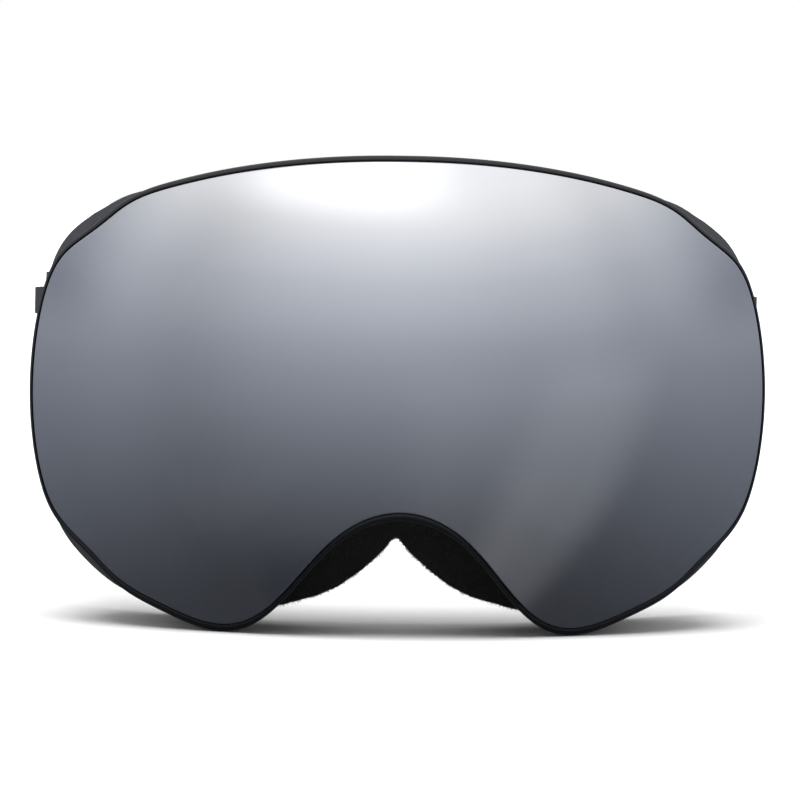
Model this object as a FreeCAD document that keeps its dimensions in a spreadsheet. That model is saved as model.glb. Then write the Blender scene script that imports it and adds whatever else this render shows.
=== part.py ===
# Ski goggles with a frameless-looking spherical lens on magnets, an air-gap
# second lens, a soft frame with vents, three-layer face foam, a fleece nose
# seal, hinged strap arms and an elastic head strap with two adjusters.
#
# Frame: +Z up, the lens faces -Y, +X is the wearer's left. The origin is on the
# surface the goggles stand on, under the middle of their box. Millimetres.
#
# Both lenses, the lens rim and the frame's front flange are shells of spheres
# about one centre. The face foam lies between upright cylinders about one axis,
# which follow the curve of a face. Outlines are drawn on the XZ plane.

import FreeCAD, Part
import math
import os

Vector = FreeCAD.Vector
Rotation = FreeCAD.Rotation
Placement = FreeCAD.Placement

doc = FreeCAD.newDocument("ski_goggles")

# ---------------------------------------------------------------- dimensions

SIZES = (
    ("apex_y", -120.0, "lens front, the foremost point"),
    ("total_depth", 240.0, "lens front to the back of the worn strap loop"),
    ("centre_z", 60.0, "height of the lens sphere's centre"),
    ("lens_r", 117.0, "radius of the outer lens's front"),
    ("outer_wall", 1.4, "outer lens thickness"),
    ("air_gap", 3.0, "sealed air between the two lenses"),
    ("inner_wall", 0.8, "inner lens thickness"),
    ("rim_depth", 8.5, "lens front to the back of the lens rim"),
    ("rim_seat", 3.2, "thickness of the rim's seat behind the lenses"),
    ("rim_gap", 0.3, "lens rim to frame, lens fitted"),
    ("flange_wall", 2.8, "frame's front flange"),
    ("magnet_r", 2.0, "magnet radius"),
    ("magnet_t", 1.6, "magnet thickness"),
    ("frame_wall", 2.2, "frame side wall"),
    ("front_plane", 50.0, "behind the apex, where the frame starts to narrow"),
    ("back_plane", 100.0, "behind the apex, where the rear outline is drawn"),
    ("face_r", 95.0, "radius of the foam's face side"),
    ("face_depth", 54.0, "behind the apex, the foam's face side at the middle"),
    ("fleece_t", 1.5, "fleece layer"),
    ("mid_foam_t", 5.0, "soft foam layer"),
    ("base_foam_t", 10.0, "firm foam layer"),
    ("back_flange_wall", 2.0, "frame's rear flange"),
    ("vent_len", 13.0, "vent slot length"),
    ("vent_wide", 3.8, "vent slot width"),
    ("hinge_back", 68.0, "strap hinge behind the apex"),
    ("hinge_z", 62.0, "strap hinge height"),
    ("hinge_x", 86.3, "strap hinge from the middle"),
    ("strap_droop", 6.0, "degrees the strap falls towards the back"),
    ("pin_r", 1.25, "hinge pin radius"),
    ("pin_len", 40.0, "hinge pin length"),
    ("pin_play", 0.05, "play between pin and arm"),
    ("knuckle_r", 3.1, "arm knuckle radius"),
    ("knuckle_half", 12.5, "half the arm knuckle's length"),
    ("lug_r", 3.6, "frame lug radius"),
    ("lug_len", 6.4, "frame lug length"),
    ("arm_t", 3.0, "arm plate thickness"),
    ("bar_back", 26.0, "strap bar behind the hinge"),
    ("bar_r", 2.0, "strap bar radius"),
    ("strap_wide", 40.0, "strap width"),
    ("strap_t", 1.6, "strap thickness"),
    ("leg_back", 38.0, "end of the side web's outer leg, sewn to the return layer"),
    ("join_back", 80.0, "where a side web meets the band behind the head"),
    ("slider_back", 53.5, "adjuster behind the hinge"),
    ("slider_len", 20.0, "adjuster length along the strap"),
    ("slider_play", 0.4, "play between adjuster and strap"),
    ("grip_t", 0.5, "silicone grip thickness"),
    ("grip_wide", 2.2, "silicone grip width"),
)

sheet = doc.addObject("Spreadsheet::Sheet", "Sizes")
for row, (alias, value, note) in enumerate(SIZES, start=1):
    sheet.set("A%d" % row, alias)
    sheet.set("B%d" % row, repr(value))
    sheet.set("C%d" % row, note)
    sheet.setAlias("B%d" % row, alias)
doc.recompute()


def size(alias):
    """A driving dimension, read from the sheet."""
    return float(sheet.get(alias))


APEX = size("apex_y")
NODES = []

# ------------------------------------------------------------ outline points
# Right halves, from the top middle round the side to the bottom middle, as
# (x, z). Each is mirrored and closed by one smooth curve.

LENS_EDGE = (
    (0, 114.2), (19.5, 113.5), (36.1, 111.5), (48.9, 108.9), (56.0, 107.0),
    (62.0, 105.0), (67.3, 102.1), (71.9, 98.25), (77.1, 94.3), (82.2, 89.9),
    (85.15, 84.4), (87.5, 75.4), (89.0, 62.0), (88.6, 47.5), (86.7, 36.4),
    (83.4, 28.0), (78.1, 21.9), (73.4, 17.6), (69.2, 13.3), (64.3, 9.8),
    (56.0, 5.9), (48.0, 2.8), (42.2, 1.94), (36.5, 3.2), (30.1, 7.9),
    (23.9, 15.1), (18.6, 21.4), (13.2, 26.3), (6.8, 29.7), (0, 30.9),
)
FRAME_FRONT = (
    (0, 113.2), (20, 112.6), (36, 110.8), (50, 108.5), (60, 106.5),
    (67.4, 104.4), (74.4, 100.4), (82.6, 95.4), (86.8, 89.6), (88.1, 83.2),
    (87.9, 73), (87.7, 60), (87.8, 46), (88.0, 34.6), (87.0, 27.0),
    (83.6, 20.2), (77.5, 14.6), (69.5, 9.4), (58.6, 5.0), (50, 2.0),
    (43, 1.1), (36.5, 2.6), (30.1, 6.9), (23.3, 14.2), (18.0, 20.4),
    (12.8, 25.0), (6.6, 28.2), (0, 29.4),
)
FRAME_BACK = (
    (0, 110.8), (18, 110.4), (33, 109.0), (45, 106.6), (53, 103.2),
    (59, 98.8), (64.6, 93.0), (68.6, 86.6), (71.4, 79.6), (72.8, 73.6),
    (73.6, 67), (73.8, 59), (73.5, 47), (72.4, 36), (70.4, 28.2),
    (67.6, 21.6), (64.2, 15.6), (60.6, 10.0), (55.5, 4.8), (50, 2.4),
    (44, 1.6), (38, 3.6), (31.8, 8.0), (25.3, 14.8), (19.8, 20.6),
    (14.2, 25.2), (7.4, 28.6), (0, 29.8),
)
FOAM_OUTER = (
    (0, 111.6), (20, 111.0), (38, 108.8), (52, 104.4), (63.5, 97.5),
    (71.5, 87), (75.2, 74), (76.0, 59), (75.0, 43), (72.4, 29),
    (67.8, 17.0), (61.8, 7.6), (55.8, 2.6), (49.8, 0.06), (44.0, 1.4),
    (38.6, 5.6), (32.4, 11.4), (26, 17.6), (19.4, 23.2), (12.6, 27.4),
    (6, 29.7), (0, 30.4),
)
FOAM_INNER = (
    (0, 97), (20, 96.4), (38, 93.6), (50, 87.2), (57.4, 77),
    (60.2, 64), (59.7, 50), (57.2, 37), (53.2, 27), (48.6, 20.9),
    (43.4, 19.6), (37.5, 23), (30.6, 29.6), (23, 36.6), (14.8, 41.8),
    (7, 44.2), (0, 44.8),
)
# Right-hand nose flap, anticlockwise from its inner top corner.
FLAP_EDGE = (
    (0.05, 22.0), (3.0, 18.2), (5.6, 15.7), (9.6, 12.4), (14.0, 9.3),
    (19.0, 7.0), (25.0, 5.2), (33.0, 3.6), (37.6, 4.6), (38.6, 5.4),
    (32.3, 11.2), (25.9, 17.3), (19.3, 22.9), (12.5, 27.1), (5.9, 29.4),
    (0.05, 30.0),
)

# ------------------------------------------------------------------- helpers


def closed_curve(half_points):
    """The full outline's points: the right half, then its mirror image."""
    mirrored = [(-x, z) for x, z in reversed(half_points[1:-1])]
    return list(half_points) + mirrored


def moved_outwards(points, distance):
    """The outline's points, each moved along its outward normal.

    distance is a number, or a function of that normal.
    """
    moved = []
    count = len(points)
    for i, (x, z) in enumerate(points):
        ahead = points[(i + 1) % count]
        behind = points[i - 1]
        along = (ahead[0] - behind[0], ahead[1] - behind[1])
        length = math.hypot(*along)
        normal = (-along[1] / length, along[0] / length)
        step = distance(normal) if callable(distance) else distance
        moved.append((x + normal[0] * step, z + normal[1] * step))
    return moved


OUTLINE_PIECES = 10


def outline(name, half_points, distance=0.0, back=0.0):
    """A closed smooth outline in a sketch facing -Y, `back` mm behind the apex.

    The curve is cut into pieces, so that its walls are short faces.
    """
    points = moved_outwards(closed_curve(half_points), distance)
    curve = Part.BSplineCurve()
    curve.interpolate([Vector(x, z, 0) for x, z in points], PeriodicFlag=True)
    knots = curve.getKnots()
    cuts = [knots[round(i * (len(knots) - 1) / OUTLINE_PIECES)] for i in range(OUTLINE_PIECES + 1)]
    sketch = doc.addObject("Sketcher::SketchObject", name)
    for start, end in zip(cuts, cuts[1:]):
        piece = curve.copy()
        piece.segment(start, end)
        sketch.addGeometry(piece)
    sketch.Placement = Placement(Vector(0, APEX + back, 0), Rotation(Vector(1, 0, 0), 90))
    return sketch


def prism(name, sketch, ahead, behind):
    """A straight block along Y through an outline, to both sides of its plane."""
    block = doc.addObject("Part::Extrusion", name)
    block.Base = sketch
    block.DirMode = "Normal"
    block.LengthFwd = ahead
    block.LengthRev = behind
    block.Solid = True
    return block


def ball(name, radius):
    """A sphere about the lens centre, its radius an expression of the sheet."""
    sphere = doc.addObject("Part::Sphere", name)
    sphere.setExpression("Radius", radius)
    sphere.setExpression("Placement.Base.y", "Sizes.apex_y + Sizes.lens_r")
    sphere.setExpression("Placement.Base.z", "Sizes.centre_z")
    return sphere


def face_drum(name, radius):
    """An upright cylinder about the face curve's axis."""
    drum = doc.addObject("Part::Cylinder", name)
    drum.setExpression("Radius", radius)
    drum.Height = 160
    drum.setExpression("Placement.Base.y", "Sizes.apex_y + Sizes.face_depth + Sizes.face_r")
    drum.Placement.Base.z = -20
    return drum


def boolean(kind, name, base, tool):
    """A Part::Cut, Part::Common or Part::Fuse of two objects."""
    result = doc.addObject("Part::" + kind, name)
    result.Base = base
    result.Tool = tool
    return result


def group(name, members):
    """Several separate solids kept together."""
    result = doc.addObject("Part::Compound", name)
    result.Links = members
    return result


def node(obj, label):
    """Marks an object as a finished sub-part."""
    obj.Label = label
    NODES.append(obj)
    return obj


def curved_layer(name, outer_radius, inner_radius, outer_edge, inner_edge=None):
    """A layer between two face drums, inside one outline and outside another."""
    shell = boolean("Cut", name + "_shell", face_drum(name + "_front", outer_radius),
                    face_drum(name + "_back", inner_radius))
    layer = boolean("Common", name + "_blank", shell, outer_edge)
    if inner_edge:
        layer = boolean("Cut", name + "_ring", layer, inner_edge)
    return layer


def lens_shell(name, outer_radius, inner_radius, edge):
    """The part of a spherical shell inside an outline's prism."""
    shell = boolean("Cut", name + "_shell", ball(name + "_front", outer_radius),
                    ball(name + "_back", inner_radius))
    return boolean("Common", name + "_cap", shell, edge)


# ------------------------------------------------------------ lens assembly
FRONT_REACH = 10
BACK_REACH = 70


def lens_prism(name, distance):
    return prism(name + "_prism", outline(name + "_edge", LENS_EDGE, distance),
                 FRONT_REACH, BACK_REACH)


def rim_width(normal):
    """The rim stands proud of the lens: least at the sides, most below it."""
    side, top, below = 0.85, 1.35, 2.0
    upright = top if normal[1] > 0 else below
    return side + (upright - side) * normal[1] ** 2


lens_edge = lens_prism("lens", 0.0)
rim_edge = lens_prism("rim", rim_width)
lens_fit = lens_prism("lens_fit", 0.08)
inner_lens_edge = lens_prism("inner_lens", -2.5)
spacer_edge = lens_prism("spacer", -1.0)
seat_opening = lens_prism("seat_opening", -6.0)
spacer_opening = lens_prism("spacer_opening", -5.0)
flange_opening = lens_prism("flange_opening", -9.0)

node(lens_shell("outer_lens", "Sizes.lens_r", "Sizes.lens_r - Sizes.outer_wall", lens_edge),
     "outer_lens")

SPACER_FRONT = "Sizes.lens_r - Sizes.outer_wall"
SPACER_BACK = "Sizes.lens_r - Sizes.outer_wall - Sizes.air_gap"
spacer = boolean("Cut", "lens_spacer",
                 lens_shell("spacer", SPACER_FRONT, SPACER_BACK, spacer_edge), spacer_opening)
node(spacer, "lens_spacer")
node(lens_shell("inner_lens", SPACER_BACK, SPACER_BACK + " - Sizes.inner_wall", inner_lens_edge),
     "inner_lens")

# Rim: a band round both lenses with a seat behind them, where the magnets sit.
rim_band = lens_shell("rim", "Sizes.lens_r", "Sizes.lens_r - Sizes.rim_depth", rim_edge)
lens_room = boolean("Cut", "lens_room", lens_fit,
                    ball("seat_front", "Sizes.lens_r - Sizes.rim_depth + Sizes.rim_seat"))
rim_hollow = boolean("Cut", "rim_hollow", rim_band, lens_room)
rim_open = boolean("Cut", "rim_open", rim_hollow, seat_opening)


# Magnets: pairs of discs face to face across the gap, their axes through the
# lens centre. Five on each side, each named by its place in LENS_EDGE.
MAGNET_PLACES = (1, 4, 9, 13, 20)
MAGNET_INSET = 3.5
MAGNET_SINK = 0.2


def magnet_axis(x, z, radius):
    """Direction from the lens centre to the point over (x, z) on a sphere."""
    across = Vector(x, 0, z - size("centre_z"))
    forward = math.sqrt(radius ** 2 - across.Length ** 2)
    return Vector(across.x, -forward, across.z).normalize()


def magnet_set(name, outer_radius, play):
    """Discs whose outer faces lie at outer_radius, grown by play for their pockets."""
    centre = Vector(0, APEX + size("lens_r"), size("centre_z"))
    inset = moved_outwards(closed_curve(LENS_EDGE), -MAGNET_INSET)
    middle = outer_radius - size("magnet_t") / 2
    discs = []
    for place in MAGNET_PLACES:
        for side in (1, -1):
            x, z = inset[place]
            axis = magnet_axis(side * x, z, middle)
            disc = doc.addObject("Part::Cylinder", "%s_%d" % (name, len(discs) + 1))
            disc.setExpression("Radius", "Sizes.magnet_r + %s" % play)
            disc.setExpression("Height", "Sizes.magnet_t + %s" % (2 * play))
            reach = outer_radius - size("magnet_t") - play
            disc.Placement = Placement(centre + axis * reach, Rotation(Vector(0, 0, 1), axis))
            discs.append(disc)
    return group(name, discs)


rim_back = size("lens_r") - size("rim_depth")
frame_front = rim_back - size("rim_gap")
POCKET_PLAY = 0.05
rim_magnet_top = rim_back + size("magnet_t") + MAGNET_SINK
frame_magnet_top = frame_front - MAGNET_SINK
rim_pockets = magnet_set("rim_pockets", rim_magnet_top, POCKET_PLAY)
node(boolean("Cut", "lens_carrier", rim_open, rim_pockets), "lens_carrier")
node(magnet_set("lens_magnets", rim_magnet_top, 0), "lens_magnets")
node(magnet_set("frame_magnets", frame_magnet_top, 0), "frame_magnets")

# ------------------------------------------------------------- strap side
# The hinges, arms and strap lie in a frame of their own: its origin is at the
# hinges' height between them, y runs back along the strap, and it is tipped so
# that the strap falls towards the back.
DROOP = Rotation(Vector(1, 0, 0), -size("strap_droop"))
STRAP_PLACE = Placement(Vector(0, APEX + size("hinge_back"), size("hinge_z")), DROOP)
SIDES = ((1, "left"), (-1, "right"))


def body(name):
    """A PartDesign body in the strap's frame."""
    made = doc.addObject("PartDesign::Body", name)
    made.Placement = STRAP_PLACE
    return made


def plane_sketch(owner, name, plane, offset=0.0):
    """A sketch on one of the body's own origin planes."""
    origin_plane = [f for f in owner.Origin.OriginFeatures if f.Role == plane][0]
    sketch = owner.newObject("Sketcher::SketchObject", name)
    sketch.AttachmentSupport = [(origin_plane, "")]
    sketch.MapMode = "FlatFace"
    sketch.AttachmentOffset = Placement(Vector(0, 0, offset), Rotation())
    return sketch


def add_polygon(sketch, points):
    corners = [Vector(x, y, 0) for x, y in points]
    for start, end in zip(corners, corners[1:] + corners[:1]):
        sketch.addGeometry(Part.LineSegment(start, end))


def add_circle(sketch, x, y, radius):
    sketch.addGeometry(Part.Circle(Vector(x, y, 0), Vector(0, 0, 1), radius))


def add_arc(sketch, x, y, radius, start, end):
    """An arc about (x, y), angles in degrees, anticlockwise."""
    circle = Part.Circle(Vector(x, y, 0), Vector(0, 0, 1), radius)
    sketch.addGeometry(Part.ArcOfCircle(circle, math.radians(start), math.radians(end)))


def pad(owner, name, sketch, length):
    """A pad to both sides of its sketch; length is an expression of the sheet."""
    feature = owner.newObject("PartDesign::Pad", name)
    feature.Profile = sketch
    feature.SideType = "Symmetric"
    feature.setExpression("Length", length)
    return feature


def pocket(owner, name, sketch, length):
    """A pocket to both sides of its sketch, which has to take material away."""
    doc.recompute()
    before = owner.Shape.Volume
    feature = owner.newObject("PartDesign::Pocket", name)
    feature.Profile = sketch
    feature.SideType = "Symmetric"
    feature.setExpression("Length", length)
    doc.recompute()
    if owner.Shape.Volume >= before:
        raise RuntimeError(name + " takes nothing away")
    return feature


hinge_x = size("hinge_x")
bar_back = size("bar_back")
bar_r = size("bar_r")
strap_t = size("strap_t")
BAR_PLAY = 0.2
loop_in = bar_r + BAR_PLAY
loop_out = loop_in + strap_t
band_out = hinge_x - loop_in
band_in = hinge_x - loop_out
SLOT_FRONT = 19.6
SLOT_SPARE = 1.3
ARM_EDGE = 3.2
ROOT_HALF = 11.0
LAYER_PLAY = 0.3
JOIN_GAP = 0.5
RETURN_LEN = 3.5


def strap_arm(side, hand):
    """A flat arm on the hinge, with a slot and a round bar for the strap."""
    arm = body("outrigger_" + hand)
    slot_half = size("strap_wide") / 2 + SLOT_SPARE
    end_half = slot_half + ARM_EDGE
    end_back = bar_back + bar_r
    plate = plane_sketch(arm, "arm_side_" + hand, "YZ_Plane", side * hinge_x)
    flare = ((0, -ROOT_HALF), (4, -ROOT_HALF), (SLOT_FRONT - 3, -end_half), (end_back, -end_half),
             (end_back, end_half), (SLOT_FRONT - 3, end_half), (4, ROOT_HALF), (0, ROOT_HALF))
    add_polygon(plate, flare)
    pad(arm, "arm_plate_" + hand, plate, "Sizes.arm_t")
    window = plane_sketch(arm, "arm_window_" + hand, "YZ_Plane", side * hinge_x)
    add_polygon(window, ((SLOT_FRONT, -slot_half), (end_back - 0.6, -slot_half),
                         (end_back - 0.6, slot_half), (SLOT_FRONT, slot_half)))
    pocket(arm, "arm_slot_" + hand, window, "Sizes.arm_t * 3")
    open_end = plane_sketch(arm, "arm_open_" + hand, "YZ_Plane", side * hinge_x)
    add_polygon(open_end, ((end_back - 0.7, -slot_half), (end_back + 1, -slot_half),
                           (end_back + 1, slot_half), (end_back - 0.7, slot_half)))
    pocket(arm, "arm_end_" + hand, open_end, "Sizes.arm_t * 3")
    bar = plane_sketch(arm, "arm_bar_" + hand, "XY_Plane")
    add_circle(bar, side * hinge_x, bar_back, bar_r)
    pad(arm, "arm_round_" + hand, bar, "Sizes.strap_wide + %g" % (2 * SLOT_SPARE + 2))
    knuckle = plane_sketch(arm, "arm_root_" + hand, "XY_Plane")
    add_circle(knuckle, side * hinge_x, 0, size("knuckle_r"))
    pad(arm, "arm_knuckle_" + hand, knuckle, "Sizes.knuckle_half * 2")
    bore = plane_sketch(arm, "arm_hole_" + hand, "XY_Plane")
    add_circle(bore, side * hinge_x, 0, size("pin_r") + size("pin_play"))
    pocket(arm, "arm_bore_" + hand, bore, "Sizes.knuckle_half * 2 + 4")
    return node(arm, "outrigger_" + hand)


def hinge_pin(side, hand):
    pin = body("hinge_pin_" + hand)
    section = plane_sketch(pin, "pin_section_" + hand, "XY_Plane")
    add_circle(section, side * hinge_x, 0, size("pin_r"))
    pad(pin, "pin_shaft_" + hand, section, "Sizes.pin_len")
    return node(pin, "hinge_pin_" + hand)


def strap_side(side, hand):
    """The strap's side web: looped out round the arm's bar, its outer leg cut short."""
    web = body("strap_side_" + hand)
    loop = plane_sketch(web, "loop_" + hand, "XY_Plane")
    join = size("join_back")
    leg = size("leg_back")
    leg_in = band_out + LAYER_PLAY
    lines = (
        ((band_in, bar_back), (band_in, join)),
        ((band_in, join), (band_out, join)),
        ((band_out, join), (band_out, bar_back)),
        ((hinge_x + loop_out, bar_back), (leg_in + strap_t, leg)),
        ((leg_in + strap_t, leg), (leg_in, leg)),
        ((leg_in, leg), (hinge_x + loop_in, bar_back)),
    )
    for (x1, y1), (x2, y2) in lines:
        loop.addGeometry(Part.LineSegment(Vector(side * x1, y1, 0), Vector(side * x2, y2, 0)))
    for radius in (loop_in, loop_out):
        add_arc(loop, side * hinge_x, bar_back, radius, 180, 360)
    pad(web, "loop_web_" + hand, loop, "Sizes.strap_wide")
    return node(web, "strap_side_" + hand)


def strap_return(side, hand):
    """The outer layer that runs from the loop's leg to the adjuster."""
    layer = body("strap_return_" + hand)
    strip = plane_sketch(layer, "return_" + hand, "XY_Plane")
    start = size("leg_back") + JOIN_GAP
    inner = band_out + LAYER_PLAY
    add_polygon(strip, ((side * inner, start), (side * inner, start + RETURN_LEN),
                        (side * (inner + strap_t), start + RETURN_LEN),
                        (side * (inner + strap_t), start)))
    pad(layer, "return_web_" + hand, strip, "Sizes.strap_wide")
    return node(layer, "strap_return_" + hand)


RAIL_T = 6.4
RAIL_EDGE = 3.4
END_BAR = 4.2
CENTRE_BAR = 4.6
BAR_THICK = 1.9


def strap_slider(side, hand):
    """A three-bar adjuster: end bars inside the strap, centre bar outside it."""
    slider = body("strap_slider_" + hand)
    play = size("slider_play")
    middle = (band_in + band_out) / 2
    back = size("slider_back")
    half_len = size("slider_len") / 2
    half_in = size("strap_wide") / 2 + play
    face = plane_sketch(slider, "slider_face_" + hand, "YZ_Plane", side * middle)
    add_polygon(face, ((back - half_len, -half_in - RAIL_EDGE), (back + half_len, -half_in - RAIL_EDGE),
                       (back + half_len, half_in + RAIL_EDGE), (back - half_len, half_in + RAIL_EDGE)))
    pad(slider, "slider_block_" + hand, face, "%g" % RAIL_T)
    hollow = plane_sketch(slider, "slider_hollow_" + hand, "YZ_Plane", side * middle)
    add_polygon(hollow, ((back - half_len - 1, -half_in), (back + half_len + 1, -half_in),
                         (back + half_len + 1, half_in), (back - half_len - 1, half_in)))
    pocket(slider, "slider_window_" + hand, hollow, "%g" % (RAIL_T * 2))
    bars = plane_sketch(slider, "slider_bars_" + hand, "XY_Plane")
    outside = middle + strap_t / 2 + play
    inside = middle - strap_t / 2 - play
    for start, end, near in ((back - half_len, back - half_len + END_BAR, inside - BAR_THICK),
                             (back + half_len - END_BAR, back + half_len, inside - BAR_THICK),
                             (back - CENTRE_BAR / 2, back + CENTRE_BAR / 2, outside)):
        add_polygon(bars, ((side * near, start), (side * (near + BAR_THICK), start),
                           (side * (near + BAR_THICK), end), (side * near, end)))
    pad(slider, "slider_rungs_" + hand, bars, "Sizes.strap_wide + Sizes.slider_play * 2 + 2")
    return node(slider, "strap_slider_" + hand)


for side, hand in SIDES:
    strap_arm(side, hand)
    hinge_pin(side, hand)
    strap_side(side, hand)
    strap_return(side, hand)
    strap_slider(side, hand)

# The band joins both side webs and closes behind the head in one arc.
droop_angle = math.radians(size("strap_droop"))
edge_reach = size("strap_wide") / 2 * math.sin(droop_angle)
loop_back = (size("total_depth") - size("hinge_back") - edge_reach) / math.cos(droop_angle)
arc_centre = loop_back - band_out


def band_profile(sketch, outer, inner, start):
    """A U in plan: straight sides from `start` and a half circle behind."""
    for radius in (outer, inner):
        add_arc(sketch, 0, arc_centre, radius, 0, 180)
        for side in (1, -1):
            sketch.addGeometry(Part.LineSegment(Vector(side * radius, start, 0),
                                                Vector(side * radius, arc_centre, 0)))
    for side in (1, -1):
        sketch.addGeometry(Part.LineSegment(Vector(side * inner, start, 0),
                                            Vector(side * outer, start, 0)))


band = body("strap_band")
band_plan = plane_sketch(band, "band_plan", "XY_Plane")
band_profile(band_plan, band_out, band_in, size("join_back") + JOIN_GAP)
pad(band, "band_web", band_plan, "Sizes.strap_wide")
node(band, "strap_band")

# Silicone grip lines printed on the inside of the band, behind the head.
GRIP_HEIGHTS = (-12, 0, 12)
GRIP_SWEEP = 70
grips = []
for number, height in enumerate(GRIP_HEIGHTS, start=1):
    strip = body("grip_%d" % number)
    plan = plane_sketch(strip, "grip_plan_%d" % number, "XY_Plane", height)
    outer_r = band_in - 0.02
    inner_r = outer_r - size("grip_t")
    first = math.radians(90 - GRIP_SWEEP)
    last = math.radians(90 + GRIP_SWEEP)
    for radius in (outer_r, inner_r):
        add_arc(plan, 0, arc_centre, radius, 90 - GRIP_SWEEP, 90 + GRIP_SWEEP)
    for angle in (first, last):
        ends = [Vector(r * math.cos(angle), arc_centre + r * math.sin(angle), 0)
                for r in (inner_r, outer_r)]
        plan.addGeometry(Part.LineSegment(*ends))
    pad(strip, "grip_line_%d" % number, plan, "Sizes.grip_wide")
    grips.append(strip)
node(group("strap_grips", grips), "strap_grips")

# ------------------------------------------------------------------- frame
front_plane = size("front_plane")
back_plane = size("back_plane")


def frame_loft(name, distance):
    """The frame's outline carried back from the lens and narrowed to the face."""
    sections = [
        outline(name + "_nose", FRAME_FRONT, distance, -5.0),
        outline(name + "_front", FRAME_FRONT, distance, front_plane),
        outline(name + "_back", FRAME_BACK, distance, back_plane),
    ]
    loft = doc.addObject("Part::Loft", name)
    loft.Sections = sections
    loft.Solid = True
    loft.Ruled = True
    return loft


frame_outer = frame_loft("frame_outer", 0.0)
frame_middle = frame_loft("frame_middle", -size("frame_wall") / 2)
frame_inner = frame_loft("frame_inner", -size("frame_wall"))
FRAME_FRONT_R = "Sizes.lens_r - Sizes.rim_depth - Sizes.rim_gap"
FOAM_FRONT_R = "Sizes.face_r + Sizes.fleece_t + Sizes.mid_foam_t + Sizes.base_foam_t"
foam_opening = prism("foam_opening", outline("foam_opening_edge", FOAM_INNER),
                     FRONT_REACH, 130)
foam_block = prism("foam_block", outline("foam_edge", FOAM_OUTER), FRONT_REACH, 130)

# The side wall, and at each end a flange whose outer edge lies inside the wall.
wall_tube = boolean("Cut", "wall_tube", frame_outer, frame_inner)
wall_front = boolean("Common", "wall_front", wall_tube, ball("frame_front_ball", FRAME_FRONT_R))
wall = boolean("Cut", "wall", wall_front, face_drum("wall_drum", FOAM_FRONT_R))
front_flange = boolean("Cut", "front_flange",
                       lens_shell("flange", FRAME_FRONT_R, FRAME_FRONT_R + " - Sizes.flange_wall",
                                  frame_middle),
                       flange_opening)
back_flange = curved_layer("back_flange", FOAM_FRONT_R + " + Sizes.back_flange_wall",
                           FOAM_FRONT_R, frame_middle, foam_opening)

# Hinge lugs above and below each arm, with a foot that runs into the wall.
lugs = []
lug_bores = []
LUG_FOOT = 6.0
LUG_GAP = 0.4
for side, hand in SIDES:
    bore = doc.addObject("Part::Cylinder", "lug_bore_" + hand)
    bore.setExpression("Radius", "Sizes.pin_r + 0.02")
    bore.setExpression("Height", "Sizes.pin_len + 2")
    low = Vector(side * hinge_x, 0, -size("pin_len") / 2 - 1)
    bore.Placement = STRAP_PLACE.multiply(Placement(low, Rotation()))
    lug_bores.append(bore)
    for level in (1, -1):
        word = "%s_%s" % (hand, "top" if level > 0 else "bottom")
        near = size("knuckle_half") + LUG_GAP
        base_z = near if level > 0 else -near - size("lug_len")
        eye = doc.addObject("Part::Cylinder", "lug_eye_" + word)
        eye.setExpression("Radius", "Sizes.lug_r")
        eye.setExpression("Height", "Sizes.lug_len")
        eye.Placement = STRAP_PLACE.multiply(
            Placement(Vector(side * hinge_x, 0, base_z), Rotation()))
        foot = doc.addObject("Part::Box", "lug_foot_" + word)
        foot.setExpression("Width", "Sizes.lug_r * 2")
        foot.setExpression("Height", "Sizes.lug_len")
        foot.Length = LUG_FOOT
        corner_x = hinge_x - LUG_FOOT if side > 0 else -hinge_x
        foot.Placement = STRAP_PLACE.multiply(
            Placement(Vector(corner_x, -size("lug_r"), base_z), Rotation()))
        lugs.extend([eye, foot])

frame_solid = doc.addObject("Part::MultiFuse", "frame_solid")
frame_solid.Shapes = [wall, front_flange, back_flange] + lugs

# Vent slots through the top and bottom walls, half way between the flanges.
slots = []


def wall_middle(x, z):
    """Half way back along the wall at (x, z), as a Y."""
    up = z - size("centre_z")
    ahead = size("lens_r") - math.sqrt(frame_front ** 2 - x * x - up * up)
    drum_r = size("face_r") + size("fleece_t") + size("mid_foam_t") + size("base_foam_t")
    behind = size("face_depth") + size("face_r") - math.sqrt(drum_r ** 2 - x * x)
    return APEX + (ahead + behind) / 2


TOP_SLOTS = (0, 17, 34, 51)
BOTTOM_SLOTS = (42, 57)
for x in TOP_SLOTS + tuple(-x for x in TOP_SLOTS if x):
    slots.append((x, 104.0, 112.0))
for x in BOTTOM_SLOTS + tuple(-x for x in BOTTOM_SLOTS):
    slots.append((x, 1.0, 4.5))
slot_boxes = []
for number, (x, base, level) in enumerate(slots, start=1):
    slot = doc.addObject("Part::Box", "vent_slot_%d" % number)
    slot.setExpression("Length", "Sizes.vent_len")
    slot.setExpression("Width", "Sizes.vent_wide")
    slot.Height = 14 if base > 50 else 10
    slot.Placement.Base = Vector(x - size("vent_len") / 2,
                                 wall_middle(x, level) - size("vent_wide") / 2, base - 2)
    slot_boxes.append(slot)
frame_cuts = group("frame_cuts", slot_boxes + lug_bores)
frame_slotted = boolean("Cut", "frame_slotted", frame_solid, frame_cuts)
frame_pockets = magnet_set("frame_pockets", frame_magnet_top, POCKET_PLAY)
node(boolean("Cut", "frame", frame_slotted, frame_pockets), "frame")

# ------------------------------------------------------- vent and face foam
VENT_GAP = 0.9
VENT_FOAM = 3.0
BOX_DEPTH = 90


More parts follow.
